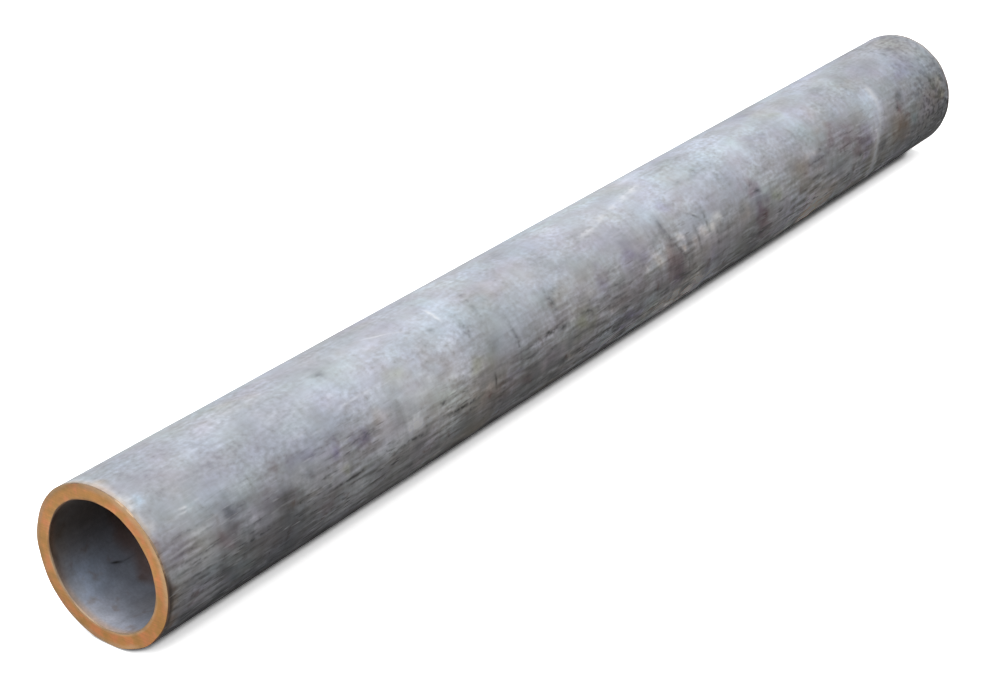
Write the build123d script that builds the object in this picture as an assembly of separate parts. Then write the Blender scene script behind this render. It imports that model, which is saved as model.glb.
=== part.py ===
from build123d import *
import os

# One sawn length of round aluminium bronze tube, lying on its side along X.
# The origin is on the floor line, straight below the middle of the tube's axis.
# The end at -X is the one that faces the viewer.

# Driving dimensions, in millimetres
OUTSIDE_DIAMETER = 100.0
WALL = 10.0
LENGTH = 970.0

# Flats left where the saw burr was dressed off the two rims of each end
OUTER_EDGE_BREAK = 0.6
BORE_EDGE_BREAK = 0.5

PARTS_FOLDER = "parts"


def stock_tube():
    """The stock as it comes: a plain ring section carried straight along the length."""
    outside_radius = OUTSIDE_DIAMETER / 2
    ring = Circle(outside_radius) - Circle(outside_radius - WALL)
    near_end = Plane.YZ.offset(-LENGTH / 2)
    return extrude(near_end * ring, LENGTH)


def rims_by_size(tube):
    """The round edges at both ends, in groups from the smallest radius to the largest."""
    return tube.edges().filter_by(GeomType.CIRCLE).group_by(SortBy.RADIUS)


def sawn_tube():
    """The finished piece: cut to length, with its four rims dressed."""
    tube = stock_tube()
    tube = chamfer(rims_by_size(tube)[-1], OUTER_EDGE_BREAK)
    tube = chamfer(rims_by_size(tube)[0], BORE_EDGE_BREAK)
    return tube


def lying_tube():
    """The tube set down on the floor, which touches it along one line."""
    return Pos(0, 0, OUTSIDE_DIAMETER / 2) * sawn_tube()


os.makedirs(PARTS_FOLDER, exist_ok=True)
export_step(lying_tube(), f"{PARTS_FOLDER}/tube.step")
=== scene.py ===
import math

import bpy
import numpy as np
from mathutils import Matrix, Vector


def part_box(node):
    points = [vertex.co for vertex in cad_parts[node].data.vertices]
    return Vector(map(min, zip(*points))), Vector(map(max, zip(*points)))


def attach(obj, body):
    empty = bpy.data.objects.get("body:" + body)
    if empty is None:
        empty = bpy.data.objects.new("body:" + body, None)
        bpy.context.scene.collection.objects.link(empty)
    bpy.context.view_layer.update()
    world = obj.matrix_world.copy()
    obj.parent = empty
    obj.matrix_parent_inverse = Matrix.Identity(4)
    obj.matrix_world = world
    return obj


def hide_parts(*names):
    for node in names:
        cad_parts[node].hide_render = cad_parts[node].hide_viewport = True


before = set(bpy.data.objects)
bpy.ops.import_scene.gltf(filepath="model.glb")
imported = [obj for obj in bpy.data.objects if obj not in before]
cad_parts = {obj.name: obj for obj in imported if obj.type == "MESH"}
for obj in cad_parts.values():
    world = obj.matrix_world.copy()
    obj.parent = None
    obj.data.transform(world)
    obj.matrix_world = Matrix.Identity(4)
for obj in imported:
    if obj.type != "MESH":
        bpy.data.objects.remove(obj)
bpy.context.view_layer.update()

# A sawn length of aluminium bronze tube, lying on a pale floor. Metres, the long way along X.
# Places on the tube are given as the distance from the near end and the angle round it.
# The angle is 0 along the top and grows towards the viewer's side, which faces -Y.

LOW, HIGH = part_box("tube")
MM = 0.001

LENGTH = HIGH.x - LOW.x
NEAR_END = LOW.x
AXIS_HEIGHT = (LOW.z + HIGH.z) / 2
OUTSIDE_RADIUS = min(-LOW.y, HIGH.y, AXIS_HEIGHT - LOW.z)
WALL = 10.0 * MM
BORE_RADIUS = OUTSIDE_RADIUS - WALL
OUTER_EDGE_BREAK = 0.6 * MM
BORE_EDGE_BREAK = 0.5 * MM

# Fineness of the grid
COLUMNS_ROUND = 220
SKIN_ROWS = 372
BORE_ROWS = 44
FACE_ROWS = 9
BREAK_ROWS = 3

# Relief of the worked surfaces, all of it cut into the drawn size
EDGE_UNEVENNESS = 0.35
SAW_WANDER = 0.10 * MM
WAVE_DEPTH = 0.045 * MM
RIPPLE_DEPTH = 0.018 * MM
RELIEF_FADE = 5 * MM

SEED = 7
WAVES = 9

# The camera, at the photograph's viewing angle
CAMERA_PLACE = (-1.1666, -0.7522, 0.6635)
CAMERA_HEADING = 35.51
CAMERA_DIP = 25.67
LENS = 76.94
FILM_WIDTH = 36.0


def srgb(red, green, blue):
    """A colour as a paint card shows it, 0 to 255, turned into the linear light that the shaders use."""
    card = np.array([red, green, blue]) / 255
    light = np.where(card <= 0.04045, card / 12.92, ((card + 0.055) / 1.055) ** 2.4)
    return (*light.tolist(), 1.0)


# What a stain at full strength leaves of the red, green and blue of the skin under it
STAIN_TINTS = {
    "pale": (1.42, 1.40, 1.37),
    "cream": (1.60, 1.53, 1.44),
    "frost": (1.28, 1.42, 1.52),
    "smudge": (0.52, 0.52, 0.53),
    "rust": (0.66, 0.54, 0.55),
    "tan": (0.95, 0.83, 0.71),
    "violet": (0.58, 0.53, 0.68),
    "olive": (0.80, 0.82, 0.60),
    "teal": (0.76, 0.94, 0.93),
}

# Stains and rubbed places on the outside: kind, mm from the near end, angle in degrees, half length along
# and half width round in mm, turn in degrees and strength. They stand in order from the near end on.
# The smudges centred from 122 to 130 degrees round darken the underside as dirt and as painted shade.
STAINS = [
    # Broad shades
    ("smudge", 0, 108, 4, 30, 0, 1.10),
    ("pale", 1, 8, 5, 36, 0, 0.80),
    ("tan", 2, 118, 5, 24, 0, 2.20),
    ("smudge", 10, 112, 10, 16, 0, 0.35),
    ("smudge", 30, -10, 60, 14, 0, 0.14),
    ("smudge", 30, 15, 95, 130, 0, 0.26),
    ("smudge", 86, 98, 40, 26, 8, 0.60),
    ("smudge", 88, 110, 34, 14, 0, 0.30),
    ("tan", 90, 0, 28, 18, 0, 0.18),
    ("smudge", 99, 100, 13, 15, 15, 1.05),
    ("smudge", 122, 8, 26, 38, 0, 0.20),
    ("smudge", 135, 42, 66, 30, 0, 0.32),
    ("smudge", 170, -12, 70, 26, 0, 0.12),
    ("pale", 238, 81, 70, 25, 0, 0.50),
    ("smudge", 285, 24, 10, 18, 0, 0.16),
    ("smudge", 288, 50, 16, 22, 0, 0.25),
    ("smudge", 322, 53, 28, 38, 0, 0.36),
    ("smudge", 370, 0, 60, 40, 0, 0.13),
    ("smudge", 372, 65, 18, 14, 0, 0.20),
    ("teal", 398, 12, 18, 16, 0, 0.16),
    ("smudge", 400, 0, 34, 18, 0, 0.10),
    ("frost", 480, 2, 30, 18, 0, 0.12),
    ("cream", 485, 66, 12, 14, 0, 0.15),
    ("pale", 487, 50, 12, 22, 0, 0.20),
    ("rust", 518, 82, 10, 16, -12, 0.95),
    ("smudge", 539, 78, 3, 16, -20, 0.50),
    ("tan", 560, 86, 44, 14, 0, 0.30),
    ("smudge", 568, 62, 26, 14, 0, 0.16),
    ("smudge", 578, 94, 10, 14, 0, 0.32),
    ("smudge", 585, 80, 12, 26, 0, 0.25),
    ("smudge", 590, 82, 9, 14, 0, 0.20),
    ("smudge", 598, 8, 20, 48, 0, 0.16),
    ("smudge", 616, 48, 18, 18, 0, 0.18),
    ("smudge", 622, 32, 18, 16, 0, 0.14),
    ("smudge", 636, 80, 13, 18, 0, 0.30),
    ("teal", 640, 4, 34, 20, 0, 0.14),
    ("smudge", 640, 86, 58, 24, 0, 0.22),
    ("frost", 720, 4, 34, 20, 0, 0.14),
    ("pale", 738, 2, 16, 16, 0, 0.20),
    ("pale", 740, 117, 34, 14, 0, 1.90),
    ("smudge", 770, 62, 48, 22, 0, 0.30),
    ("smudge", 790, 8, 60, 34, 0, 0.10),
    ("pale", 831, 106, 6, 14, 0, 0.80),
    ("frost", 834, 52, 14, 25, -10, 0.38),
    ("smudge", 838, 4, 14, 20, 0, 0.18),
    ("pale", 838, 50, 12, 22, 0, 0.35),
    ("tan", 840, 2, 18, 18, 0, 0.16),
    ("tan", 874, 79, 12, 15, 0, 0.60),
    ("smudge", 876, 56, 24, 14, 0, 0.28),
    ("smudge", 876, 76, 12, 14, 0, 0.25),
    ("smudge", 885, 108, 14, 20, 0, 0.45),
    ("smudge", 900, 105, 50, 16, 0, 0.35),
    ("smudge", 925, 20, 75, 130, 0, 0.26),
    ("smudge", 930, 38, 24, 26, 0, 0.20),
    ("smudge", 935, 116, 62, 24, 0, 0.65),
    ("tan", 945, 2, 24, 22, 0, 0.55),
    ("smudge", 946, 124, 28, 15, 0, 2.50),
    ("smudge", 950, 56, 24, 16, 0, 0.25),
    ("smudge", 957, 112, 20, 22, 0, 1.60),
    ("smudge", 960, -10, 10, 14, 0, 0.32),
    ("smudge", 965, 40, 7, 60, 0, 0.30),
    # Small stains
    ("cream", 2, 22, 4, 5, 0, 0.45),
    ("rust", 2, 56, 3, 4, 0, 0.50),
    ("cream", 3, 45, 3, 5, 0, 0.50),
    ("tan", 4, 5, 5, 7, 0, 0.70),
    ("frost", 9, 27, 5, 4, 0, 1.10),
    ("pale", 10, 80, 9, 12, 0, 0.40),
    ("violet", 14, 68, 9, 7, 0, 0.30),
    ("frost", 25, 92, 12, 4, 0, 0.35),
    ("pale", 26, 74, 16, 8, 0, 0.35),
    ("pale", 28, 112, 15, 8, 20, 0.75),
    ("smudge", 30, 126, 50, 8, 0, 0.85),
    ("pale", 35, 35, 12, 10, 0, 0.20),
    ("smudge", 45, 100, 7, 5, 20, 0.55),
    ("smudge", 46, 102, 5, 7, 0, 0.60),
    ("rust", 50, 79, 7, 6, 10, 0.75),
    ("pale", 53, 88, 7, 6, 0, 0.45),
    ("smudge", 55, 65, 5, 10, 0, 0.65),
    ("smudge", 55, 130, 90, 7, 0, 0.60),
    ("smudge", 60, 61, 12, 8, 0, 0.32),
    ("teal", 60, 106, 14, 6, 25, 0.4),
    ("smudge", 60, 124, 70, 8, 0, 0.90),
    ("smudge", 62, 88, 7, 9, 20, 0.45),
    ("smudge", 70, 122, 105, 11, 0, 1.00),
    ("smudge", 82, 118, 26, 7, 22, 0.35),
    ("smudge", 97, 79, 13, 10, 0, 0.62),
    ("tan", 118, -6, 14, 11, 0, 0.30),
    ("violet", 118, 58, 16, 9, 0, 0.28),
    ("cream", 119, 87, 7, 6, 0, 0.45),
    ("smudge", 130, 67, 15, 9, 0, 0.20),
    ("rust", 133, 96, 8, 8, 25, 0.40),
    ("pale", 134, 118, 15, 6, 0, 0.50),
    ("violet", 146, 65, 4, 8, 0, 0.60),
    ("olive", 150, 80, 4, 8, 0, 0.40),
    ("pale", 150, 100, 12, 10, 0, 0.30),
    ("tan", 164, 40, 10, 6, 0, 0.25),
    ("violet", 169, 66, 7, 5, 0, 1.00),
    ("pale", 172, 33, 14, 5, 0, 0.22),
    ("pale", 172, 113, 28, 9, 0, 0.52),
    ("smudge", 174, 12, 4, 3, 0, 0.28),
    ("smudge", 175, 130, 24, 6, 0, 0.50),
    ("smudge", 182, 98, 12, 7, 25, 0.50),
    ("pale", 185, 0, 12, 12, 0, 0.20),
    ("tan", 190, 62, 6, 7, 0, 0.35),
    ("smudge", 205, 63, 16, 12, 0, 0.28),
    ("smudge", 208, 68, 10, 10, 0, 0.22),
    ("tan", 212, 8, 14, 8, 0, 0.22),
    ("olive", 216, 40, 10, 6, 0, 0.30),
    ("pale", 216, 96, 26, 9, 0, 0.22),
    ("pale", 226, 81, 15, 4, 0, 0.40),
    ("pale", 232, 70, 34, 13, 0, 0.30),
    ("pale", 235, 116, 32, 8, 0, 0.50),
    ("tan", 240, 42, 22, 10, 0, 0.20),
    ("smudge", 240, 58, 14, 10, 0, 0.20),
    ("pale", 240, 88, 16, 8, 0, 0.25),
    ("pale", 240, 118, 28, 9, 0, 0.85),
    ("pale", 240, 124, 36, 6, 0, 0.30),
    ("pale", 246, 60, 17, 4, 0, 0.35),
    ("pale", 282, 87, 34, 11, 0, 0.55),
    ("smudge", 285, 78, 9, 5, 0, 0.30),
    ("olive", 288, 67, 12, 7, 0, 0.40),
    ("pale", 291, 84, 6, 5, 0, 0.40),
    ("frost", 292, 10, 8, 12, 0, 0.22),
    ("rust", 306, 100, 24, 10, 12, 0.28),
    ("smudge", 310, 61, 12, 8, 0, 0.22),
    ("violet", 318, 88, 10, 4, 10, 0.40),
    ("tan", 330, 20, 24, 11, 0, 0.26),
    ("smudge", 331, 111, 10, 7, 30, 0.40),
    ("rust", 333, 96, 7, 6, 30, 0.50),
    ("smudge", 345, 130, 44, 6, 0, 1.05),
    ("rust", 352, 12, 9, 6, 0, 0.16),
    ("pale", 358, 95, 12, 8, 0, 0.50),
    ("violet", 366, 95, 12, 7, 20, 0.30),
    ("pale", 370, 101, 20, 13, 0, 1.00),
    ("pale", 380, 106, 22, 10, 0, 0.62),
    ("tan", 388, 50, 12, 9, 0, 0.28),
    ("pale", 388, 112, 12, 6, 30, 0.80),
    ("olive", 402, 82, 14, 12, 12, 0.45),
    ("cream", 412, 67, 12, 4, 0, 0.22),
    ("pale", 415, 116, 20, 8, 0, 0.35),
    ("violet", 430, 59, 7, 9, 0, 0.45),
    ("rust", 432, 14, 10, 6, 0, 0.20),
    ("pale", 435, 122, 12, 8, 0, 0.50),
    ("pale", 435, 128, 12, 6, 0, 1.60),
    ("tan", 440, 83, 16, 5, 0, 0.28),
    ("frost", 444, 93, 12, 5, 10, 0.35),
    ("pale", 444, 120, 14, 8, 0, 1.00),
    ("violet", 455, 104, 22, 7, 8, 0.60),
    ("rust", 470, 86, 44, 12, 0, 0.22),
    ("pale", 470, 117, 9, 6, 20, 0.55),
    ("violet", 474, 54, 14, 10, 0, 0.40),
    ("smudge", 478, 82, 22, 6, 0, 0.22),
    ("frost", 480, 123, 40, 6, 0, 0.30),
    ("cream", 484, 70, 4, 4, 0, 0.50),
    ("pale", 487, 112, 13, 12, 0, 0.75),
    ("teal", 488, 103, 18, 8, 22, 0.40),
    ("cream", 498, 71, 9, 5, 0, 0.80),
    ("pale", 506, 112, 16, 6, 25, 0.55),
    ("cream", 512, 70, 5, 6, -20, 0.60),
    ("smudge", 515, 52, 4, 13, 0, 0.35),
    ("pale", 520, 116, 50, 11, 0, 2.15),
    ("violet", 522, 93, 6, 9, 0, 0.60),
    ("cream", 531, 69, 4, 8, -14, 1.20),
    ("violet", 532, 32, 10, 6, 20, 0.20),
    ("pale", 535, -15, 14, 8, 0, 0.25),
    ("cream", 547, 69, 4, 6, 0, 0.90),
    ("pale", 548, 114, 20, 12, 0, 0.70),
    ("pale", 552, 113, 16, 9, 30, 0.50),
    ("rust", 560, 33, 14, 5, 0, 0.14),
    ("pale", 560, 80, 16, 9, 0, 0.25),
    ("pale", 560, 128, 12, 6, 0, 1.80),
    ("cream", 565, 69.5, 11, 5, 0, 1.10),
    ("violet", 566, 98, 9, 8, 30, 0.40),
    ("cream", 579, 65, 8, 4, -10, 0.80),
    ("smudge", 580, 22, 14, 3, 0, 0.22),
    ("smudge", 585, -14, 12, 8, 0, 0.22),
    ("smudge", 606, 28, 16, 9, 0, 0.16),
    ("pale", 612, 103, 7, 6, 20, 0.35),
    ("frost", 614, 10, 6, 6, 0, 0.20),
    ("tan", 622, 76, 18, 8, 5, 0.35),
    ("smudge", 622, 112, 16, 9, 20, 0.40),
    ("rust", 634, 57, 9, 6, 20, 0.90),
    ("smudge", 635, 97, 14, 8, 0, 0.25),
    ("violet", 640, 74, 10, 12, 0, 0.50),
    ("smudge", 640, 110, 36, 9, 0, 0.24),
    ("pale", 641, 9, 6, 5, 0, 0.25),
    ("rust", 644, 90, 9, 11, 12, 1.50),
    ("rust", 655, 108, 10, 8, 30, 0.45),
    ("olive", 666, 76, 7, 4, 0, 0.55),
    ("pale", 677, 79, 5, 4, 5, 0.40),
    ("violet", 680, 22, 15, 8, 0, 0.22),
    ("frost", 695, 84, 11, 9, 0, 0.28),
    ("pale", 700, 126, 30, 10, 0, 0.90),
    ("tan", 712, 66, 14, 8, 0, 0.30),
    ("violet", 716, -14, 13, 7, 0, 0.30),
    ("olive", 728, 12, 7, 6, 0, 0.18),
    ("cream", 728, 61, 9, 4, -6, 0.50),
    ("pale", 730, 124, 110, 6, 0, 0.38),
    ("pale", 733, 79, 8, 4, 4, 0.42),
    ("smudge", 735, 68, 17, 3, -3, 0.45),
    ("pale", 735, 96, 22, 6, 14, 0.35),
    ("pale", 735, 127, 24, 6, 0, 0.80),
    ("pale", 735, 128, 20, 6, 0, 2.60),
    ("tan", 760, 46, 14, 7, 0, 0.32),
    ("smudge", 762, 89, 15, 9, 0, 0.35),
    ("cream", 764, 31, 9, 4, 0, 0.22),
    ("rust", 770, 60, 25, 13, 0, 0.45),
    ("pale", 776, 110, 22, 7, 18, 0.35),
    ("smudge", 785, 98, 12, 8, 0, 0.35),
    ("rust", 795, 82, 9, 9, 0, 0.38),
    ("smudge", 798, 100, 22, 10, 0, 0.26),
    ("smudge", 800, 93, 7, 7, 0, 0.45),
    ("smudge", 801, 10, 12, 12, 0, 0.22),
    ("rust", 803, 88, 5, 4, 0, 0.75),
    ("rust", 806, 76, 14, 12, 0, 0.28),
    ("violet", 814, 79, 11, 13, 0, 0.45),
    ("pale", 822, 122, 20, 10, 0, 0.60),
    ("pale", 831, 88, 6, 10, 0, 0.80),
    ("tan", 835, 22, 22, 8, 0, 0.24),
    ("pale", 836, 119, 7, 12, 0, 1.55),
    ("smudge", 842, 96, 5, 11, 8, 0.70),
    ("smudge", 843, 109, 4, 7, 0, 0.60),
    ("pale", 849, 42, 5, 6, 0, 0.70),
    ("smudge", 855, 104, 12, 8, 24, 0.30),
    ("pale", 855, 113, 14, 9, 0, 0.40),
    ("rust", 877, 66, 4, 4, 0, 1.10),
    ("rust", 880, 87, 8, 7, 20, 0.42),
    ("smudge", 884, 57, 10, 4, -10, 0.35),
    ("tan", 884, 91, 13, 11, 25, 0.70),
    ("smudge", 885, 57, 10, 6, 0, 0.30),
    ("pale", 885, 118, 8, 8, 0, 0.70),
    ("cream", 899, 100, 7, 6, 25, 0.90),
    ("teal", 902, 84, 7, 9, 0, 0.45),
    ("violet", 905, 36, 20, 10, 0, 0.28),
    ("smudge", 912, 61, 9, 6, 0, 0.35),
    ("frost", 928, 42, 16, 7, 0, 0.25),
    ("smudge", 932, 12, 16, 8, -20, 0.40),
    ("violet", 935, 84, 18, 9, 10, 0.30),
    ("smudge", 943, 66, 7, 8, 0, 0.45),
    ("smudge", 946, 102, 24, 12, 0, 0.60),
    ("olive", 950, 70, 14, 12, 0, 0.45),
    ("smudge", 950, 129, 26, 9, 0, 0.90),
    ("smudge", 951, 6, 5, 9, 30, 0.40),
    ("cream", 953, 63, 3, 4, 0, 0.65),
    ("cream", 954, 78, 4, 3, 0, 0.55),
    ("pale", 958, 92, 9, 9, 0, 0.35),
    ("smudge", 961, 119, 12, 10, 0, 0.70),
]

# How much darker the underside is, as dirt of the ground and as painted shade where it lies on the floor.
# How far the bore's painted shade darkens it inwards and, in red, green and blue, up its sides
UNDERSIDE_GRIME_AND_SHADE = 0.92
BORE_SHADE_INWARD = 0.26
BORE_SHADE_UPWARD = 0.34, 0.46, 0.60

# A stain of this half width in mm or more is even inside.
BROAD_STAIN = 14

# Unseen from the front, the back carries the same kinds of stain at random places.
BACK_STAINS = 70
BACK_FROM, BACK_TO = 145, 322

# Stains of the bore near its mouth, in the same form
BORE_STAINS = [
    ("pale", 3, 178, 10, 26, 0, 1.4),
    ("pale", 10, -155, 16, 22, 0, 0.9),
    ("frost", 14, -135, 16, 14, 0, 0.7),
    ("smudge", 0, -75, 3, 40, 0, 1.0),
    ("tan", 3, -90, 7, 60, 0, 0.70),
    ("tan", 34, 175, 14, 14, 0, 0.40),
    ("smudge", 20, -148, 9, 9, 0, 0.36),
    ("frost", 23, -119, 10, 8, 0, 0.40),
]

# Fine marks on the outside: tone, mm from the near end, angle in degrees, half length along and half width
# round in mm, turn in degrees and strength. The dark and pale ones are broken up, the whole ones are pale.
SKIN_MARKS = [
    ("dark", 18, 76, 11, 1.0, 0, 0.60),
    ("dark", 22, 70, 15, 0.9, 0, 0.50),
    ("dark", 22, 88, 18, 1.0, 0, 0.70),
    ("dark", 24, 59, 12, 0.8, 0, 0.45),
    ("dark", 26, 81, 20, 0.9, 0, 0.60),
    ("dark", 30, 92, 24, 0.9, 0, 0.65),
    ("dark", 30, 103, 20, 1.4, 0, 0.60),
    ("dark", 34, 76, 14, 1.0, 0, 0.60),
    ("dark", 34, 97, 20, 0.9, 0, 0.60),
    ("dark", 44, 110, 20, 1.6, 0, 0.60),
    ("dark", 59, 88, 24, 1.2, 0, 0.95),
    ("dark", 66, 94, 18, 0.9, 0, 0.60),
    ("dark", 77, 87, 10, 1.6, 0, 0.95),
    ("dark", 134, 108, 24, 1.6, 0, 0.55),
    ("dark", 152, 88.5, 19, 1.2, 0, 1.05),
    ("dark", 160, 93, 16, 0.9, 0, 0.60),
    ("dark", 173, 12, 4, 2.4, 0, 0.40),
    ("dark", 176, 66, 7, 1.2, -8, 0.80),
    ("dark", 212, 89, 14, 1.2, 0, 0.95),
    ("dark", 216, 111, 28, 1.8, 0, 0.60),
    ("dark", 246, 77, 3.6, 2.0, 15, 0.90),
    ("dark", 250, 83, 9, 0.9, 0, 0.60),
    ("dark", 264, 88, 19, 1.4, 2, 1.05),
    ("dark", 268, 26, 3, 2, 0, 0.45),
    ("dark", 272, 94, 15, 0.9, 0, 0.55),
    ("dark", 291, 40, 2.0, 9, 12, 0.40),
    ("dark", 299, 84, 1.3, 6, 0, 0.75),
    ("dark", 311, 90, 9, 1.7, 10, 0.60),
    ("dark", 312, 24, 2.0, 13, 12, 0.32),
    ("dark", 328, 66, 2.0, 15, 0, 0.62),
    ("dark", 336, 104, 20, 2.0, 0, 0.60),
    ("dark", 342, 75, 36, 0.9, 0, 0.50),
    ("dark", 348, 75, 7, 1.4, 0, 0.80),
    ("dark", 350, 113, 26, 2.0, 0, 0.70),
    ("dark", 351, 24, 2.8, 2, 0, 0.45),
    ("dark", 362, 74, 9, 1.5, -4, 1.05),
    ("dark", 374, 54, 2.0, 10, 0, 0.62),
    ("dark", 377, 75.5, 7, 1.7, 0, 0.90),
    ("dark", 381, 103, 10, 2.8, 0, 0.95),
    ("dark", 407, 75, 10, 1.6, 5, 0.75),
    ("dark", 418, 91, 11, 1.4, 8, 0.60),
    ("dark", 425, 103, 50, 1.8, 0, 0.95),
    ("dark", 432, 118, 40, 2.0, 0, 0.90),
    ("dark", 455, 103.5, 14, 2.6, 0, 0.85),
    ("dark", 516, 45, 2.1, 10, -4, 0.42),
    ("dark", 518.5, 58, 2.1, 9, -14, 0.50),
    ("dark", 527, 73, 1.8, 11, -38, 0.65),
    ("dark", 536, 88, 1.8, 9, -21, 0.65),
    ("dark", 552, 72, 1.9, 12, -10, 0.50),
    ("dark", 554, 52, 7, 1.1, 35, 0.65),
    ("dark", 567, 21, 4, 2, 0, 0.40),
    ("dark", 567, 64, 1.9, 10, 0, 0.62),
    ("dark", 577, 80, 1.9, 9, 0, 0.48),
    ("dark", 590, 22, 5, 2, 0, 0.45),
    ("dark", 634, 56, 6, 1.6, -12, 0.50),
    ("dark", 641, 63, 4, 2, 15, 0.75),
    ("dark", 666, 76, 5, 2, 0, 0.65),
    ("dark", 736, 68, 18, 1.2, -3, 0.70),
    ("dark", 742, 61, 6, 1.3, -6, 0.65),
    ("dark", 803, 88, 4, 2.4, 0, 0.85),
    ("dark", 875, 66, 3, 2.6, 0, 0.85),
    ("pale", 20, 67, 11, 1.0, 0, 0.50),
    ("pale", 20, 85, 11, 1.0, 0, 0.40),
    ("pale", 22, 106, 16, 1.4, 0, 0.60),
    ("pale", 24, 79, 14, 1.0, 0, 0.40),
    ("pale", 26, 73, 12, 1.0, 0, 0.50),
    ("pale", 28, 63, 13, 1.0, 0, 0.55),
    ("pale", 31, 48, 6, 0.8, 0, 0.65),
    ("pale", 33, 45, 7, 0.8, 0, 0.80),
    ("pale", 38, 112, 14, 1.4, 0, 0.55),
    ("pale", 148, 113, 24, 1.6, 0, 0.60),
    ("pale", 177, 41, 22, 0.8, 0, 0.30),
    ("pale", 206, 106, 26, 1.6, 0, 0.55),
    ("pale", 228, 116, 26, 1.8, 0, 0.55),
    ("pale", 237, 8.5, 14, 0.9, 22, 0.50),
    ("pale", 245, 63, 16, 1.2, 0, 0.45),
    ("pale", 281, 15, 1.4, 6, 0, 0.90),
    ("pale", 338, 119, 22, 2.0, 0, 0.50),
    ("pale", 362, 107, 24, 1.6, 0, 0.65),
    ("pale", 382, 79, 4, 1.5, 0, 0.50),
    ("pale", 392, 97, 16, 1.4, 0, 0.50),
    ("pale", 410, 112, 26, 1.8, 0, 0.65),
    ("pale", 453, 19, 13, 2.6, -8, 0.55),
    ("pale", 468, 117, 4, 2.5, 20, 0.70),
    ("pale", 474, 15, 10, 2.4, -14, 0.50),
    ("pale", 494, 11, 10, 2.4, -14, 0.45),
    ("pale", 498, 71, 9, 2.2, 0, 0.60),
    ("pale", 515, 7, 10, 2.6, -12, 0.55),
    ("pale", 530, 4, 9, 3.2, -8, 0.70),
    ("pale", 554, 50, 6, 0.8, 30, 0.60),
    ("pale", 562, 69, 10, 2.2, 0, 0.60),
    ("pale", 582, 63, 9, 1.6, -10, 0.55),
    ("pale", 730, 62, 7, 1.4, -6, 0.60),
    ("pale", 849, 42, 2.4, 4, 0, 0.60),
    ("whole", 830.5, 97, 3.8, 10, 6, 1.20),
    ("whole", 832, 110, 4.2, 9, -10, 1.25),
    ("whole", 833.5, 84, 2.8, 9, 20, 0.85),
    ("whole", 836.5, 122, 4.4, 8, -20, 1.25),
    ("whole", 842, 70, 1.9, 11, 26, 0.55),
    ("whole", 848, 53, 2.6, 10, 12, 0.38),
    ("whole", 850.5, 40, 3.2, 6, 8, 0.62),
]

BORE_MARKS = [
    ("dark", 38.3, -132.0, 4.6, 1.1, -26, 0.95),
    ("dark", 46, -134.4, 6, 0.8, 0, 0.40),
]

# Tones of the skin: size of the lumps in mm, stretch along the tube, stretch across it, fineness of their
# outlines, and how strongly the tone swings on top of the tube and on its flanks.
SKIN_TONES = [
    (95, 1.6, 1, 0, 0.60, 0.90),
    (34, 1.6, 1, 1, 0.60, 1.30),
    (13, 2.0, 1, 1, 0.55, 0.90),
    (2.8, 1.4, 1, 3, 0.70, 0.80),
    (3.4, 7, 1, 2, 0.24, 1.45),
    (7.0, 1, 6, 3, 0.35, 0.55),
]

# How much further than on the flanks the tones swing near the underside, and the size in mm below which
# a tone comes and goes in patches
LOWER_FLANK = 1.2
FINE_TONE = 5

# Shallow dents: mm from the near end, angle in degrees, half length, half width and depth in mm
DENTS = [
    (102, 96, 16, 10, 0.15),
    (246, 77, 4, 3, 0.25),
    (330, 100, 9, 8, 0.22),
    (517, 84, 4, 12, 0.25),
    (540, 80, 3, 16, 0.18),
    (645, 92, 8, 7, 0.25),
    (736, 69, 15, 4, 0.20),
    (843, 96, 7, 24, 0.35),
    (884, 94, 12, 9, 0.25),
    (420, -70, 14, 9, 0.30),
    (700, -110, 10, 12, 0.28),
    (180, -140, 18, 8, 0.25),
]


# Shape of the tube

SKIN, EDGE, SAWN, BORE = range(4)


def smooth(low, high, value):
    """Rises from 0 to 1 between low and high as 3t^2 - 2t^3."""
    t = np.clip((value - low) / (high - low), 0, 1)
    return t * t * (3 - 2 * t)


def unevenness(rng, along, angle, size):
    """A smooth field about 0 that swings by about 1 over the given size and closes round the tube.

    It is a sum of sines of (a * along + m * angle + phase). Each sine has a random heading and pitch, and
    a whole number m of waves round the tube.
    """
    field = 0
    for _ in range(WAVES):
        heading = rng.uniform(0, 2 * math.pi)
        pitch = size * rng.uniform(0.7, 1.7)
        turns_round = round(2 * math.pi * OUTSIDE_RADIUS / pitch * math.cos(heading))
        turns_along = 2 * math.pi / pitch * math.sin(heading)
        field = field + np.sin(turns_along * along + turns_round * angle + rng.uniform(0, 2 * math.pi))
    return field / math.sqrt(WAVES / 2)


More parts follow.
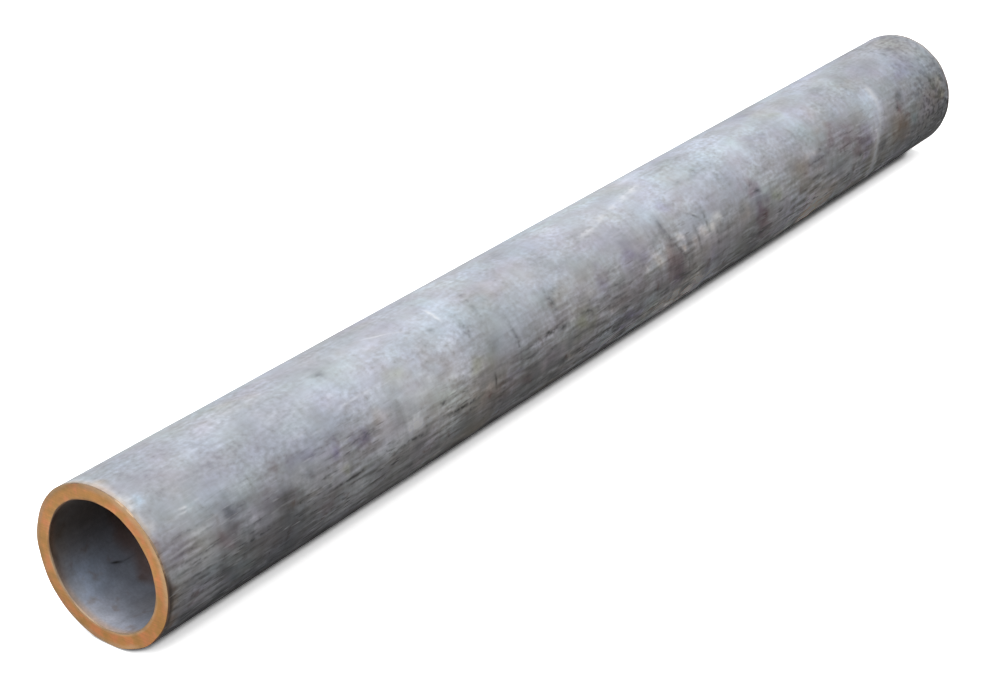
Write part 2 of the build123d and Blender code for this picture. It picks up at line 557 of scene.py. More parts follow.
def wall_section(angle):
    """The wall's closed outline at every angle: distance from the near end, radius and finish of each row.

    It runs along the outside, over the outer edge break, down the far sawn face, over the bore's edge
    break, back along the bore, and up the near face. Each stretch is a straight run between two corners,
    corner + (next - corner) * t, and the edge breaks are wider and narrower round the rim. The bore's rows
    stand closer together towards its mouths, as t - 0.9 * sin(2 pi t) / (2 pi).
    """
    rng = np.random.default_rng(SEED)
    out, bore = OUTSIDE_RADIUS + 0 * angle, BORE_RADIUS + 0 * angle
    near = 0 * angle
    far = near + LENGTH

    def dressed(width, end):
        return width * (1 + EDGE_UNEVENNESS * np.clip(unevenness(rng, end, angle, 22 * MM), -1.5, 1.5))

    outer_near, outer_far = dressed(OUTER_EDGE_BREAK, near), dressed(OUTER_EDGE_BREAK, far)
    inner_near, inner_far = dressed(BORE_EDGE_BREAK, near), dressed(BORE_EDGE_BREAK, far)
    corners = [
        (outer_near, out, SKIN, SKIN_ROWS),
        (far - outer_far, out, EDGE, BREAK_ROWS),
        (far, out - outer_far, SAWN, FACE_ROWS),
        (far, bore + inner_far, EDGE, BREAK_ROWS),
        (far - inner_far, bore, BORE, BORE_ROWS),
        (inner_near, bore, EDGE, BREAK_ROWS),
        (near, bore + inner_near, SAWN, FACE_ROWS),
        (near, out - outer_near, EDGE, BREAK_ROWS),
    ]
    along, radius, finish = [], [], []
    for (x0, r0, kind, rows), (x1, r1, _, _) in zip(corners, corners[1:] + corners[:1]):
        t = np.arange(rows)[:, None] / rows
        if kind == BORE:
            t = t - 0.9 * np.sin(2 * math.pi * t) / (2 * math.pi)
        inward = np.where(x0 > LENGTH / 2, -1, 1) * (kind == SAWN)
        wander = 1 + 0.5 * unevenness(rng, r0 + (r1 - r0) * t, angle, 40 * MM)
        along.append(x0 + (x1 - x0) * t + inward * SAW_WANDER * np.sin(math.pi * t) * wander.clip(0))
        radius.append(r0 + (r1 - r0) * t)
        finish.append(np.full(rows, kind))
    return np.concatenate(along), np.concatenate(radius), np.concatenate(finish)


def hollows(along, angle):
    """How far the skin lies below the drawn radius: long waves, short ripples and a few shallow dents.

    Each wave is (1 + unevenness) times its depth, never below 0, and each dent is depth * exp(-d^2),
    with d the distance from its middle in half widths. All of it fades out at the ends.
    """
    rng = np.random.default_rng(SEED + 1)
    depth = WAVE_DEPTH * (1 + unevenness(rng, along, angle, 75 * MM)).clip(0)
    depth += RIPPLE_DEPTH * (1 + unevenness(rng, along, angle, 16 * MM)).clip(0)
    for place, turn, half_length, half_width, sink in DENTS:
        d_along = (along - place * MM) / (half_length * MM)
        d_round = wrapped(angle - math.radians(turn)) * OUTSIDE_RADIUS / (half_width * MM)
        depth += sink * MM * np.exp(-d_along ** 2 - d_round ** 2)
    ends = smooth(0, RELIEF_FADE, along) * smooth(0, RELIEF_FADE, LENGTH - along)
    return depth * ends


def wrapped(angle):
    """The same angle between minus half a turn and half a turn."""
    return (angle + math.pi) % (2 * math.pi) - math.pi


def stain_tints(along, angle, stains_and_shade, seed):
    """The colour that the stains leave of the surface, as a product of each stain's tint.

    Each stain weighs exp(-d^3), with d the distance from its middle in half widths, and its outline
    wanders by a smooth unevenness. Its tint is raised to the power of its strength times that weight.
    The small stains are patchy inside as well.
    """
    rng = np.random.default_rng(seed)
    patchy = (1 + 0.40 * unevenness(rng, along, angle, 12 * MM)).clip(0, 1.6)
    bend_along = 1.4 * MM * unevenness(rng, along, angle, 16 * MM)
    bend_round = 1.2 * MM / OUTSIDE_RADIUS * unevenness(rng, along, angle, 16 * MM)
    along, angle = along + bend_along, angle + bend_round
    power = np.zeros((*along.shape, 3))
    for kind, place, turn, half_length, half_width, slant, strength in stains_and_shade:
        x = (along - place * MM) / MM
        y = wrapped(angle - math.radians(turn)) * OUTSIDE_RADIUS / MM
        c, s = math.cos(math.radians(slant)), math.sin(math.radians(slant))
        d = np.hypot((c * x + s * y) / half_length, (c * y - s * x) / half_width)
        weight = strength * np.exp(-d ** 3) * (patchy if half_width < BROAD_STAIN else 1)
        power += weight[..., None] * np.log(STAIN_TINTS[kind])
    return np.exp(power)


def random_stains(count):
    """Stains for the back, at seeded random places, sizes and strengths."""
    rng = np.random.default_rng(SEED + 2)
    kinds = ["smudge", "pale", "rust", "tan", "violet", "frost", "cream", "olive"]
    found = []
    for _ in range(count):
        kind = kinds[rng.integers(len(kinds))]
        place = rng.uniform(0, LENGTH / MM)
        turn = rng.uniform(BACK_FROM, BACK_TO)
        half_length, half_width = rng.uniform(5, 20), rng.uniform(3, 11)
        slant, strength = rng.uniform(-25, 25), rng.uniform(0.2, 0.6)
        found.append((kind, place, turn, half_length, half_width, slant, strength))
    return found


def dirt_and_shade_tints(along, radius, angle, from_top):
    """What stains, the underside's grime and painted shade and the bore's painted shade leave of the colour
    everywhere.
    """
    outside = stain_tints(along, angle, STAINS + random_stains(BACK_STAINS), SEED + 3)
    # The underside darkens from 120 to 132 degrees round, with a ragged edge, as dirt of the ground and as
    # painted shade.
    ragged = 2.5 * unevenness(np.random.default_rng(SEED + 5), along, angle, 38 * MM)
    grime_and_shade = 1 - UNDERSIDE_GRIME_AND_SHADE * smooth(120, 132, from_top + ragged)

    inside = stain_tints(along, angle, BORE_STAINS, SEED + 4)
    # Painted shade in the bore: darker further in from the mouths, and darker towards its top.
    dark = 1 - BORE_SHADE_INWARD * smooth(5 * MM, 45 * MM, np.minimum(along, LENGTH - along))
    bore_top_shade = 1 - smooth(75, 130, from_top)
    dark = dark[..., None] * (1 - np.array(BORE_SHADE_UPWARD) * bore_top_shade[..., None])

    on_outside = (radius > OUTSIDE_RADIUS - WALL / 2)[..., None]
    tints = np.ones((*along.shape, 4))
    tints[..., :3] = np.where(on_outside, outside * grime_and_shade[..., None], inside * dark)
    return tints


def tube_points(along, radius, angle):
    """Points on rings about the tube's axis: x is the distance along, and y and z turn with the angle."""
    x = NEAR_END + along
    y = -radius * np.sin(angle)
    z = AXIS_HEIGHT + radius * np.cos(angle)
    return np.stack([x, y, z], axis=-1)


def make_tube(materials):
    """The whole wall as one closed surface: the section's outline carried once round the axis."""
    angle = np.linspace(-math.pi, math.pi, COLUMNS_ROUND, endpoint=False)[None, :]
    along, radius, finish = wall_section(angle)
    angle = angle + 0 * along
    skin = (finish == SKIN)[:, None]
    radius = radius - skin * hollows(along, angle)
    points = tube_points(along, radius, angle)
    rows, columns = along.shape

    row, column = np.meshgrid(np.arange(rows), np.arange(columns), indexing="ij")
    next_row, next_column = (row + 1) % rows, (column + 1) % columns
    corners = [(row, column), (row, next_column), (next_row, next_column), (next_row, column)]
    quads = np.stack([r * columns + c for r, c in corners], axis=-1).reshape(-1, 4)

    mesh = bpy.data.meshes.new("bronze_tube")
    mesh.from_pydata(points.reshape(-1, 3), [], quads)
    for material in materials:
        mesh.materials.append(material)
    mesh.polygons.foreach_set("material_index", np.repeat(finish, columns).astype(np.int32))

    # The map's first number is the distance along, and its second the length of arc from the top.
    arc = OUTSIDE_RADIUS * angle[row, column]
    step = OUTSIDE_RADIUS * 2 * math.pi / columns
    place = [(along[row, column], arc), (along[row, next_column], arc + step),
             (along[next_row, next_column], arc + step), (along[next_row, column], arc)]
    flat = np.stack([np.stack(p, axis=-1) for p in place], axis=-2)
    mesh.uv_layers.new(name="along_and_round").uv.foreach_set("vector", flat.reshape(-1).astype(np.float32))

    from_top = np.degrees(np.abs(angle))
    tints = dirt_and_shade_tints(along, radius, angle, from_top)
    stains_and_shade = mesh.attributes.new("stains_and_shade", "FLOAT_COLOR", "POINT")
    stains_and_shade.data.foreach_set("color", tints.reshape(-1).astype(np.float32))
    flank = smooth(35, 80, from_top) + LOWER_FLANK * smooth(68, 112, from_top)
    flanks = mesh.attributes.new("flank", "FLOAT", "POINT")
    flanks.data.foreach_set("value", flank.reshape(-1).astype(np.float32))

    mesh.shade_smooth()
    mesh.set_sharp_from_angle(angle=math.radians(30))
    mesh.update()
    piece = bpy.data.objects.new("bronze_tube", mesh)
    bpy.context.collection.objects.link(piece)
    return piece


# Nodes that the finishes share

def add(tree, kind, inputs=None, **settings):
    """A new node with its settings made. Each input is given a plain value, or the output it comes from."""
    node = tree.nodes.new(kind)
    for name, value in settings.items():
        setattr(node, name, value)
    for name, value in (inputs or {}).items():
        if isinstance(value, bpy.types.NodeSocket):
            tree.links.new(value, node.inputs[name])
        else:
            node.inputs[name].default_value = value
    return node


def maths(tree, operation, *values, clamp=False):
    """The result of one sum on numbers, each a plain value or an output."""
    node = add(tree, "ShaderNodeMath", dict(enumerate(values)), operation=operation, use_clamp=clamp)
    return node.outputs[0]


def vector_maths(tree, operation, *values, output="Vector"):
    """The result of one sum on colours or vectors."""
    node = add(tree, "ShaderNodeVectorMath", dict(enumerate(values)), operation=operation)
    return node.outputs[output]


def product(tree, *values):
    """All the numbers multiplied together."""
    result = values[0]
    for value in values[1:]:
        result = maths(tree, "MULTIPLY", result, value)
    return result


def scaled(tree, colour, factor):
    """A colour or vector times one number."""
    return add(tree, "ShaderNodeVectorMath", {0: colour, "Scale": factor}, operation="SCALE").outputs[0]


def multiplied(tree, colour, other):
    """Two colours or vectors multiplied part by part."""
    return vector_maths(tree, "MULTIPLY", colour, other)


def mixed(tree, factor, colour, other):
    """From colour to other as the factor goes from 0 to 1."""
    inputs = {"Factor": factor, "A": colour, "B": other}
    node = add(tree, "ShaderNodeMix", data_type="RGBA")
    for socket in node.inputs:
        if socket.enabled and socket.name in inputs:
            value = inputs[socket.name]
            if isinstance(value, bpy.types.NodeSocket):
                tree.links.new(value, socket)
            else:
                socket.default_value = value
    return next(socket for socket in node.outputs if socket.enabled)


def rise(tree, value, low, high, start=0.0, end=1.0):
    """Goes smoothly from start to end as the value goes from low to high."""
    inputs = {"Value": value, "From Min": low, "From Max": high, "To Min": start, "To Max": end}
    return add(tree, "ShaderNodeMapRange", inputs, interpolation_type="SMOOTHSTEP").outputs["Result"]


def between(tree, value, start, end):
    """Goes in a straight line from start to end as the value goes from 0 to 1."""
    return maths(tree, "MULTIPLY_ADD", value, end - start, start)


def noise(tree, place, size, stretch=(1, 1, 1), shift=0, detail=3.0, output="Fac"):
    """Cloudy noise with lumps of the given size in mm, drawn out along each axis by the stretch.

    The shift moves it to another part of the noise, so that no two patterns fall on each other.
    """
    offset = (shift, 1.7 * shift, 0.6 * shift)
    inputs = {"Vector": place, "Scale": tuple(1 / s for s in stretch), "Location": offset}
    spread = add(tree, "ShaderNodeMapping", inputs).outputs["Vector"]
    inputs = {"Vector": spread, "Scale": 1 / (size * MM), "Detail": detail}
    return add(tree, "ShaderNodeTexNoise", inputs).outputs[output]


def swing(tree, value, amount):
    """A factor about 1 that follows a noise: 1 + amount * (noise - 0.5)."""
    return maths(tree, "MULTIPLY_ADD", maths(tree, "SUBTRACT", value, 0.5), amount, 1.0)


def mark_shape():
    """A node group that draws one mark on the tube's map, with soft edges.

    With x and y the place from the mark's centre, turned and measured in its half sizes, the mark is
    strength * exp(-(x^2 + y^2)).
    """
    group = bpy.data.node_groups.new("mark", "ShaderNodeTree")
    face = group.interface
    for name, kind in [("Place", "Vector"), ("Centre", "Vector"), ("Turn", "Float"),
                       ("Half size", "Vector"), ("Strength", "Float")]:
        face.new_socket(name, in_out="INPUT", socket_type="NodeSocket" + kind)
    face.new_socket("Mark", in_out="OUTPUT", socket_type="NodeSocketFloat")
    given = add(group, "NodeGroupInput").outputs
    away = vector_maths(group, "SUBTRACT", given["Place"], given["Centre"])
    turned = add(group, "ShaderNodeVectorRotate", {"Vector": away, "Angle": given["Turn"]},
                 rotation_type="Z_AXIS")
    measured = vector_maths(group, "DIVIDE", turned.outputs[0], given["Half size"])
    squared = vector_maths(group, "DOT_PRODUCT", measured, measured, output="Value")
    shape = maths(group, "EXPONENT", maths(group, "MULTIPLY", squared, -1.0))
    add(group, "NodeGroupOutput", {"Mark": maths(group, "MULTIPLY", shape, given["Strength"])})
    return group


def marks(tree, place, tone, drawn):
    """All the marks of one tone together: at each place, the strongest of them."""
    found = 0.0
    for kind, along, angle, half_length, half_width, turn, strength in drawn:
        if kind == tone:
            node = add(tree, "ShaderNodeGroup", node_tree=MARK)
            tree.links.new(place, node.inputs["Place"])
            node.inputs["Centre"].default_value = (along * MM, math.radians(angle) * OUTSIDE_RADIUS, 0)
            node.inputs["Turn"].default_value = -math.radians(turn)
            node.inputs["Half size"].default_value = (half_length * MM, half_width * MM, 1)
            node.inputs["Strength"].default_value = strength
            found = maths(tree, "MAXIMUM", found, node.outputs["Mark"])
    return found


def new_finish(name):
    """A material's node tree, its shader and the place on the piece that its patterns follow."""
    material = bpy.data.materials.new(name)
    material.use_nodes = True
    tree = material.node_tree
    place = add(tree, "ShaderNodeTexCoord").outputs["Object"]
    return material, tree, tree.nodes["Principled BSDF"], place


def stored(tree, name, output="Fac"):
    """What the tube's points carry under this name."""
    return add(tree, "ShaderNodeAttribute", attribute_name=name).outputs[output]


def coordinate(tree, place, axis):
    """One of the three numbers of a place."""
    return add(tree, "ShaderNodeSeparateXYZ", {0: place}).outputs[axis]


def from_end(tree, along):
    """How far it is to the nearer end of the tube."""
    return maths(tree, "MINIMUM", along, maths(tree, "SUBTRACT", LENGTH, along))


def tube_map(tree, place, ragged):
    """The tube's own map, with its lines made a little ragged, by so many mm."""
    flat = add(tree, "ShaderNodeUVMap", uv_map="along_and_round").outputs["UV"]
    wobble = noise(tree, place, 5, shift=5.1, detail=2, output="Color")
    moved = scaled(tree, vector_maths(tree, "SUBTRACT", wobble, (0.5, 0.5, 0.5)), ragged * MM)
    return vector_maths(tree, "ADD", flat, multiplied(tree, moved, (1, 1, 0)))


def bump(tree, height, depth):
    """Relief that is drawn only in the shading, so many mm deep."""
    inputs = {"Height": height, "Distance": depth * MM, "Strength": 1.0}
    return add(tree, "ShaderNodeBump", inputs).outputs["Normal"]


# Finishes

SKIN_ON_TOP = srgb(189, 194, 204)
SKIN_ON_FLANK = srgb(187, 186, 190)
DARK_TINT = (1.012, 0.998, 0.980, 1)
PALE_TINT = (0.982, 1.002, 1.012, 1)
DUST = srgb(186, 172, 150)
RUST = srgb(112, 78, 66)
SCRATCH_SHADE = srgb(62, 58, 60)
DARK_BROWN = srgb(96, 76, 58)
HEATED = (0.98, 0.82, 0.67)
RUBBED = srgb(243, 244, 248)

# Where the near end's scratches thin out and where the speckles set in, along the tube, and how far
# from a sawn end its marks fade and are full
SCRATCHED = 130 * MM, 50 * MM
SPECKLED = 880 * MM, 938 * MM
DARK_BROWN_REACH = 4.6 * MM, 1.4 * MM
SCUFFED_REACH = 7 * MM, 1.5 * MM
HEATED_REACH = 4.5 * MM, 0.8 * MM


def skin_tone(tree, place, flank):
    """How light the skin is, from lumps of every size multiplied together, and the lumps themselves."""
    tone = 1.0
    lumps = []
    patches = noise(tree, place, 24, (1.8, 1, 1), shift=15.3, detail=2)
    patchy = rise(tree, patches, 0.36, 0.62, 0.50, 1.30)
    for index, (size, long_way, round_way, detail, on_top, on_flank) in enumerate(SKIN_TONES):
        stretch = (long_way, round_way, round_way)
        lump = noise(tree, place, size, stretch, 0.9 * index, detail)
        lumps.append(lump)
        amount = between(tree, flank, on_top, on_flank)
        if size < FINE_TONE:
            amount = product(tree, amount, patchy)
        tone = maths(tree, "MULTIPLY", tone, swing(tree, lump, amount))
    return tone, lumps


def stained_and_shaded_oxide(tree, place, flank, tone):
    """The oxide's colour: cooler where it is pale, with dust, rust and the stains laid over it."""
    base = mixed(tree, flank, SKIN_ON_TOP, SKIN_ON_FLANK)
    hue = noise(tree, place, 24, (1.4, 1, 1), shift=7.3, detail=2, output="Color")
    hue = mixed(tree, 0.08, (1, 1, 1, 1), scaled(tree, hue, 2.0))
    colour = multiplied(tree, scaled(tree, base, tone), hue)
    cool = mixed(tree, rise(tree, tone, 0.80, 1.20), DARK_TINT, PALE_TINT)
    colour = multiplied(tree, colour, cool)
    dusty = rise(tree, noise(tree, place, 38, (1.6, 1, 1), shift=8.8), 0.50, 0.72)
    colour = mixed(tree, product(tree, dusty, between(tree, flank, 0.12, 0.25)), colour, DUST)
    rusty = rise(tree, noise(tree, place, 13, shift=9.7, detail=4), 0.60, 0.78)
    colour = mixed(tree, product(tree, rusty, between(tree, flank, 0.15, 0.45)), colour, RUST)
    # The stored tints add the stains and the underside's dirt and painted shade.
    return multiplied(tree, colour, stored(tree, "stains_and_shade", "Color"))


def scratches(tree, place, flank, along):
    """Dark and pale scratches of drawing and of handling along the tube.

    They lie in patches and over most of the near end.
    """
    patch = rise(tree, noise(tree, place, 24, (2.5, 1, 1), shift=11.2), 0.45, 0.62)
    patch = maths(tree, "MAXIMUM", patch, rise(tree, along, *SCRATCHED, 0.0, 0.70))
    cut = rise(tree, noise(tree, place, 2.2, (7, 1, 1), shift=12.4, detail=2), 0.57, 0.72)
    rubbed = rise(tree, noise(tree, place, 2.2, (7, 1, 1), shift=13.6, detail=2), 0.58, 0.74)
    cut = product(tree, cut, patch, between(tree, flank, 0.10, 0.45))
    rubbed = product(tree, rubbed, patch, between(tree, flank, 0.10, 0.38))
    return cut, rubbed


def oxide_skin():
    """The grey oxide of the outside: cloudy, drawn into streaks, rubbed pale, stained and scratched."""
    material, tree, shader, place = new_finish("grey_oxide_skin")
    flank = stored(tree, "flank")
    flat = tube_map(tree, place, 2.0)
    along = coordinate(tree, flat, "X")
    tone, lumps = skin_tone(tree, place, flank)
    colour = stained_and_shaded_oxide(tree, place, flank, tone)
    cut, rubbed = scratches(tree, place, flank, along)

    flaked = noise(tree, place, 4.0, (1.6, 1, 1), shift=14.5, detail=2)
    broken = rise(tree, flaked, 0.36, 0.56, 0.15, 1.0)
    dark = product(tree, marks(tree, flat, "dark", SKIN_MARKS), broken)
    pale = product(tree, marks(tree, flat, "pale", SKIN_MARKS), broken)
    pale = maths(tree, "MAXIMUM", pale, marks(tree, flat, "whole", SKIN_MARKS))
    dark = maths(tree, "MAXIMUM", product(tree, dark, 0.85), cut)
    pale = maths(tree, "MAXIMUM", product(tree, pale, 0.85), rubbed)

    # Dark scale speckles the last stretch before the far end.
    scale = noise(tree, place, 5.0, (1.2, 1, 1), shift=16.4, detail=1)
    scale = product(tree, rise(tree, scale, 0.40, 0.66), rise(tree, along, *SPECKLED))
    dark = maths(tree, "MAXIMUM", dark, product(tree, scale, between(tree, flank, 0.28, 0.62)))

    # Close to the sawn ends the skin is warm from the heat of the saw, darker and browner along the flanks
    # and scuffed pale on top.
    inward = from_end(tree, along)
    browned = product(tree, rise(tree, inward, *DARK_BROWN_REACH), rise(tree, flank, 0.85, 1.50), 0.90)
    scuffed = product(tree, rise(tree, inward, *SCUFFED_REACH), rise(tree, flank, 0.7, 0.1), broken, 0.22)
    heated = product(tree, rise(tree, inward, *HEATED_REACH), 0.85)
    pale = maths(tree, "MAXIMUM", pale, scuffed)
    colour = mixed(tree, dark, colour, multiplied(tree, colour, SCRATCH_SHADE[:3]))
    colour = mixed(tree, browned, colour, multiplied(tree, colour, DARK_BROWN[:3]))
    colour = mixed(tree, pale, colour, RUBBED)
    colour = mixed(tree, heated, colour, multiplied(tree, colour, HEATED))

    pits = rise(tree, lumps[3], 0.32, 0.20)
    colour = mixed(tree, product(tree, pits, between(tree, flank, 0.15, 0.40)), colour, SCRATCH_SHADE)
    tree.links.new(colour, shader.inputs["Base Color"])

    rough = maths(tree, "MULTIPLY_ADD", lumps[2], 0.30, 0.38)
    rough = maths(tree, "SUBTRACT", rough, maths(tree, "MULTIPLY", pale, 0.12))
    tree.links.new(rough, shader.inputs["Roughness"])
    shader.inputs["Specular IOR Level"].default_value = 0.25

    height = maths(tree, "MULTIPLY_ADD", lumps[4], 0.38, maths(tree, "MULTIPLY", lumps[3], 0.18))
    height = maths(tree, "SUBTRACT", height, maths(tree, "MULTIPLY", cut, 0.5))
    tree.links.new(bump(tree, height, 0.16), shader.inputs["Normal"])
    return material


def depth_in_wall(tree, place):
    """0 at the bore and 1 at the outside, across the wall."""
    flat = multiplied(tree, vector_maths(tree, "SUBTRACT", place, (0, 0, AXIS_HEIGHT)), (0, 1, 1))
    radius = vector_maths(tree, "LENGTH", flat, output="Value")
    return maths(tree, "DIVIDE", maths(tree, "SUBTRACT", radius, BORE_RADIUS), WALL)


SAWN_BRONZE = srgb(199, 142, 80)
SAWN_OLIVE = srgb(184, 136, 72)
SAWN_ROSY = srgb(216, 143, 90)
SAWN_CREAM = srgb(210, 172, 128)
SAWN_BROWN = srgb(126, 84, 54)
SAWN_DULL = (0.76, 0.82, 0.94)
SAWN_METALNESS = 0.45

# How far towards the viewer's upper side the face turns creamy, and how far across it the rim turns dull
WORN_SIDE = 55 * MM, 74 * MM
DULL_SIDE = -14 * MM, 6 * MM


def sawn_bronze():
    """The cut end: warm bronze with fine saw lines, mottled, creamy in places and brown at the bore.

    Its rim is worn creamy towards the viewer's upper side and is dull on the side away from the viewer.
    """
    material, tree, shader, place = new_finish("sawn_bronze")
    depth = depth_in_wall(tree, place)
    mottle = noise(tree, place, 9, shift=2.3, detail=4)
    fleck = noise(tree, place, 2.0, shift=3.1, detail=2)
    wide = noise(tree, place, 34, shift=4.4, detail=2)
    colour = mixed(tree, rise(tree, mottle, 0.46, 0.62), SAWN_BRONZE, SAWN_ROSY)
    colour = mixed(tree, rise(tree, mottle, 0.48, 0.34, 0.0, 0.7), colour, SAWN_OLIVE)

    wobble = maths(tree, "MULTIPLY_ADD", maths(tree, "SUBTRACT", mottle, 0.5), 0.5, depth)
    cream = product(tree, rise(tree, wobble, 0.62, 0.88), rise(tree, wide, 0.40, 0.56), 0.75)
    colour = mixed(tree, cream, colour, SAWN_CREAM)
    up_front = vector_maths(tree, "DOT_PRODUCT", place, (0, -0.7, 0.7), output="Value")
    worn_side = rise(tree, up_front, *WORN_SIDE)
    worn_side = product(tree, worn_side, rise(tree, wobble, 0.45, 0.85), 0.75)
    colour = mixed(tree, worn_side, colour, SAWN_CREAM)
    dull = product(tree, rise(tree, coordinate(tree, place, "Y"), *DULL_SIDE), rise(tree, depth, 0.55, 0.85))
    colour = mixed(tree, dull, colour, multiplied(tree, colour, SAWN_DULL))
    low = rise(tree, stored(tree, "flank"), 1.7, 2.1, 0.25, 0.85)
    lip = product(tree, rise(tree, depth, 0.26, 0.08), low)
    colour = mixed(tree, lip, colour, SAWN_CREAM)
    brown = product(tree, rise(tree, wobble, 0.16, 0.0), rise(tree, wide, 0.62, 0.44), 0.5)
    colour = mixed(tree, brown, colour, SAWN_BROWN)

    lines = noise(tree, place, 0.9, (1, 30, 1), shift=6.0, detail=2)
    tone = product(tree, swing(tree, lines, 0.35), swing(tree, fleck, 0.30), swing(tree, wide, 0.35))
    tree.links.new(scaled(tree, colour, tone), shader.inputs["Base Color"])
    tree.links.new(maths(tree, "MULTIPLY_ADD", fleck, 0.25, 0.32), shader.inputs["Roughness"])
    shader.inputs["Metallic"].default_value = SAWN_METALNESS
    height = maths(tree, "MULTIPLY_ADD", fleck, 0.3, lines)
    tree.links.new(bump(tree, height, 0.05), shader.inputs["Normal"])
    return material


EDGE_BROWN = srgb(92, 68, 50)
EDGE_WORN = srgb(170, 146, 120)


def dressed_edge():
    """The broken edges: brown with oxide and worn pale in places outside, and pale low down at the bore."""
    material, tree, shader, place = new_finish("dressed_edge")
    depth = depth_in_wall(tree, place)
    flank = stored(tree, "flank")
    wear = noise(tree, place, 7, shift=1.3, detail=3)
    fleck = noise(tree, place, 1.6, shift=2.9, detail=2)
    kept = rise(tree, flank, 0.95, 1.50, 0.0, 0.36)
    worn = rise(tree, maths(tree, "SUBTRACT", wear, kept), 0.30, 0.52, 0.0, 0.8)
    worn = maths(tree, "MAXIMUM", worn, rise(tree, flank, 0.95, 0.40, 0.0, 0.5))
    low_in_bore = product(tree, rise(tree, depth, 0.5, 0.4), rise(tree, flank, 1.75, 2.15, 0.25, 0.80))
    worn = maths(tree, "MAXIMUM", product(tree, worn, rise(tree, depth, 0.4, 0.5)), low_in_bore)
    colour = scaled(tree, mixed(tree, worn, EDGE_BROWN, EDGE_WORN), swing(tree, fleck, 0.5))
    tree.links.new(colour, shader.inputs["Base Color"])
    tree.links.new(rise(tree, wear, 0.3, 0.7, 0.55, 0.38), shader.inputs["Roughness"])
    shader.inputs["Metallic"].default_value = SAWN_METALNESS
    tree.links.new(bump(tree, fleck, 0.08), shader.inputs["Normal"])
    return material


BORE_GREY = srgb(160, 166, 181)
BORE_BROWN = srgb(122, 101, 88)

# What the heat at the mouth and the brown-black painted shade further in leave of the colour, how far in
# the heat fades and is full, and where the painted shade sets in and is full, with a ragged edge
BORE_MOUTH = (1.22, 0.90, 0.66)
BORE_DEEP_SHADE = (0.84, 0.57, 0.46)
MOUTH_REACH = 6 * MM, 0.5 * MM
DEEP_SHADE_REACH = 44 * MM, 60 * MM
DEEP_SHADE_RAGGED = 45 * MM


def bore_oxide():
    """The bore: bluish grey oxide with drawn streaks and brown spots, warm at its mouth, painted shade deep
    inside.
    """
    material, tree, shader, place = new_finish("bore_oxide")
    cloud = noise(tree, place, 30, (1.5, 1, 1), shift=3.3)
    mottle = noise(tree, place, 7, shift=4.1)
    streak = noise(tree, place, 2.4, (18, 1, 1), shift=5.6)
    grain = noise(tree, place, 1.6, shift=6.2, detail=2)
    tone = product(tree, swing(tree, cloud, 0.4), swing(tree, mottle, 0.4), swing(tree, streak, 0.22),
                   swing(tree, grain, 0.45))
    spots = rise(tree, noise(tree, place, 11, shift=7.7, detail=4), 0.56, 0.74, 0.0, 0.55)
    colour = mixed(tree, spots, scaled(tree, BORE_GREY[:3], tone), BORE_BROWN)
    # The stored tints add the bore's stains and its painted shade.
    colour = multiplied(tree, colour, stored(tree, "stains_and_shade", "Color"))
    flat = tube_map(tree, place, 1.0)
    inward = from_end(tree, coordinate(tree, flat, "X"))
    colour = mixed(tree, rise(tree, inward, *MOUTH_REACH), colour, multiplied(tree, colour, BORE_MOUTH))
    # Deep inside, painted shade turns the colour brown-black, with a ragged edge.
    inward = maths(tree, "MULTIPLY_ADD", maths(tree, "SUBTRACT", cloud, 0.5), DEEP_SHADE_RAGGED, inward)
    colour = mixed(tree, rise(tree, inward, *DEEP_SHADE_REACH), colour, multiplied(tree, colour, BORE_DEEP_SHADE))
    dark = marks(tree, flat, "dark", BORE_MARKS)
    colour = mixed(tree, dark, colour, SCRATCH_SHADE)
    tree.links.new(colour, shader.inputs["Base Color"])
    tree.links.new(maths(tree, "MULTIPLY_ADD", mottle, 0.3, 0.32), shader.inputs["Roughness"])
    shader.inputs["Specular IOR Level"].default_value = 0.35
    height = maths(tree, "MULTIPLY_ADD", streak, 0.6, maths(tree, "MULTIPLY", grain, 0.4))
    tree.links.new(bump(tree, height, 0.12), shader.inputs["Normal"])
    return material


# Studio

FLOOR_REACH = 12.0
WORLD_FOR_LIGHT = 0.03

# How pale the floor is for light, in reflections and to the camera
FLOOR_FOR_LIGHT = 0.125
FLOOR_IN_GLOSS = 0.9
FLOOR_SEEN = 1.3

# The glow that the camera sees, where the tube hides much and little of the floor's sky, and the openness
# at which it goes out and is full
FLOOR_GLOW = 0.42, 0.82
GLOW_RISE = 0.24, 0.46

# How far off the tube the painted contact shadow still dims the glow, at the near and the far end, and
# between which places on X that reach grows from a share of itself to the whole
PAINTED_SHADOW_REACH = 8.5 * MM, 11 * MM
NEAR_FADE = LOW.x - 4 * MM, LOW.x + 12 * MM
FAR_FADE = HIGH.x + 4 * MM, HIGH.x - 30 * MM
FADE_SHARE = 0.4


def looked_at(tree):
    """1 where the camera, a reflection or clear glass looks, and 0 for light on its way."""
    path = add(tree, "ShaderNodeLightPath").outputs
    seen = maths(tree, "ADD", path["Is Camera Ray"], path["Is Glossy Ray"], clamp=True)
    return maths(tree, "ADD", seen, path["Is Transmission Ray"], clamp=True)


def grey(level):
    """A grey with the same level of red, green and blue."""
    return (level, level, level, 1)


def make_world():
    """White where it is looked at, and a dim grey where it lights the tube."""
    world = bpy.data.worlds.new("studio")
    world.use_nodes = True
    tree = world.node_tree
    tree.nodes.clear()
    dim = add(tree, "ShaderNodeBackground", {"Color": grey(1), "Strength": WORLD_FOR_LIGHT})
    white = add(tree, "ShaderNodeBackground", {"Color": grey(1), "Strength": 1.0})
    both = add(tree, "ShaderNodeMixShader", {0: looked_at(tree), 1: dim.outputs[0], 2: white.outputs[0]})
    add(tree, "ShaderNodeOutputWorld", {"Surface": both.outputs[0]})
    bpy.context.scene.world = world


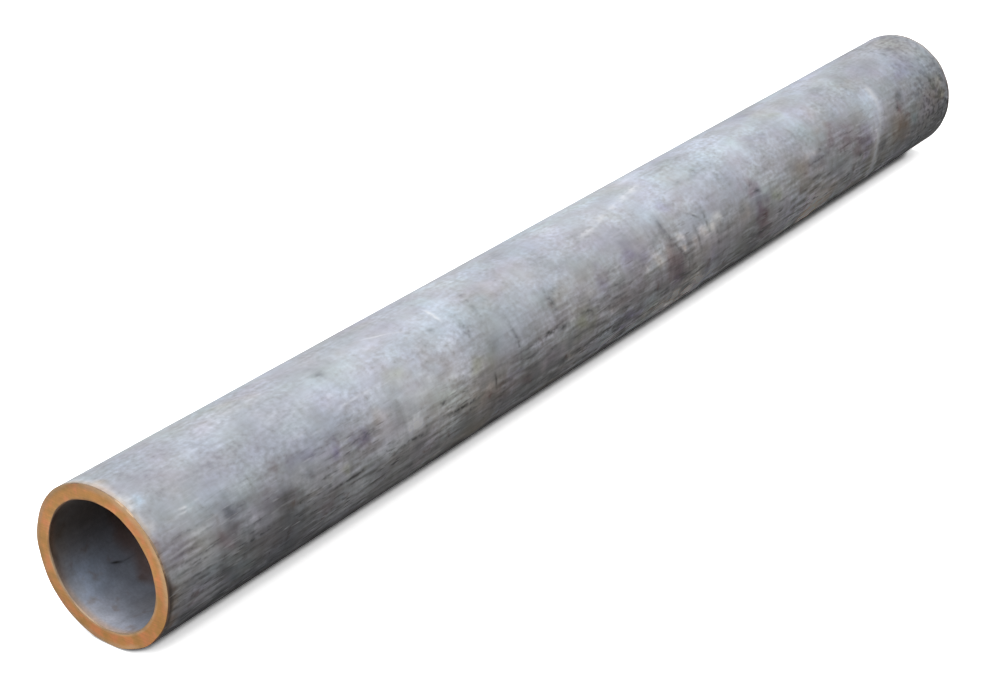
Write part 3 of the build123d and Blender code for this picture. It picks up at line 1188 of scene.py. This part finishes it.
def make_floor():
    """A level sheet that looks white, keeps the tube's shadow and throws little light back up."""
    mesh = bpy.data.meshes.new("floor")
    reach = FLOOR_REACH
    corners = [(-reach, -reach, 0), (reach, -reach, 0), (reach, reach, 0), (-reach, reach, 0)]
    mesh.from_pydata(corners, [], [(0, 1, 2, 3)])
    material = bpy.data.materials.new("pale_floor")
    material.use_nodes = True
    tree = material.node_tree
    tree.nodes.clear()
    for_light = add(tree, "ShaderNodeBsdfDiffuse", {"Color": grey(FLOOR_FOR_LIGHT)})
    in_gloss = add(tree, "ShaderNodeBsdfDiffuse", {"Color": grey(FLOOR_IN_GLOSS)})
    lit = add(tree, "ShaderNodeBsdfDiffuse", {"Color": grey(FLOOR_SEEN)})
    place = add(tree, "ShaderNodeTexCoord").outputs["Object"]
    along = coordinate(tree, place, "X")
    # Near the tube the glow dims as a painted contact shadow, besides the real shadow on the lit floor.
    shadow_reach = rise(tree, along, LOW.x, HIGH.x, *PAINTED_SHADOW_REACH)
    for fade in NEAR_FADE, FAR_FADE:
        shadow_reach = product(tree, shadow_reach, rise(tree, along, *fade, FADE_SHARE))
    openness = add(tree, "ShaderNodeAmbientOcclusion", {"Distance": shadow_reach}, samples=16).outputs["AO"]
    strength = product(tree, between(tree, openness, *FLOOR_GLOW), rise(tree, openness, *GLOW_RISE))
    glow = add(tree, "ShaderNodeEmission", {"Color": grey(1), "Strength": strength})
    seen = add(tree, "ShaderNodeAddShader", {0: lit.outputs[0], 1: glow.outputs[0]})
    looked = add(tree, "ShaderNodeMixShader",
                 {0: looked_at(tree), 1: for_light.outputs[0], 2: in_gloss.outputs[0]})
    camera = add(tree, "ShaderNodeLightPath").outputs["Is Camera Ray"]
    both = add(tree, "ShaderNodeMixShader", {0: camera, 1: looked.outputs[0], 2: seen.outputs[0]})
    add(tree, "ShaderNodeOutputMaterial", {"Surface": both.outputs[0]})
    mesh.materials.append(material)
    floor = bpy.data.objects.new("floor", mesh)
    bpy.context.collection.objects.link(floor)


def make_lamp(name, place, aim, size, power):
    """A soft rectangular lamp that faces its aim and is itself out of sight."""
    lamp = bpy.data.lights.new(name, "AREA")
    lamp.shape = "RECTANGLE"
    lamp.size, lamp.size_y = size
    lamp.energy = power
    item = bpy.data.objects.new(name, lamp)
    item.location = place
    item.rotation_euler = (Vector(aim) - Vector(place)).to_track_quat("-Z", "Y").to_euler()
    item.visible_camera = False
    bpy.context.collection.objects.link(item)


def make_camera():
    """The camera that the scene is seen through."""
    lens = bpy.data.cameras.new("camera")
    lens.lens = LENS
    lens.sensor_width = FILM_WIDTH
    camera = bpy.data.objects.new("camera", lens)
    camera.location = CAMERA_PLACE
    camera.rotation_euler = (math.radians(90 - CAMERA_DIP), 0, math.radians(CAMERA_HEADING - 90))
    bpy.context.collection.objects.link(camera)
    bpy.context.scene.camera = camera


make_camera()
make_world()
make_floor()
make_lamp("softbox", (0.0, -0.10, 1.9), (0.0, 0.0, 0.0), (3.2, 2.4), 48.5)
make_lamp("end_fill", (-2.6, 0.0, 1.3), (-0.4, 0.0, 0.05), (1.2, 1.2), 31)

MARK = mark_shape()
tube = make_tube([oxide_skin(), dressed_edge(), sawn_bronze(), bore_oxide()])
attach(tube, "root")
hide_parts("tube")

bpy.context.scene.view_settings.view_transform = "Standard"
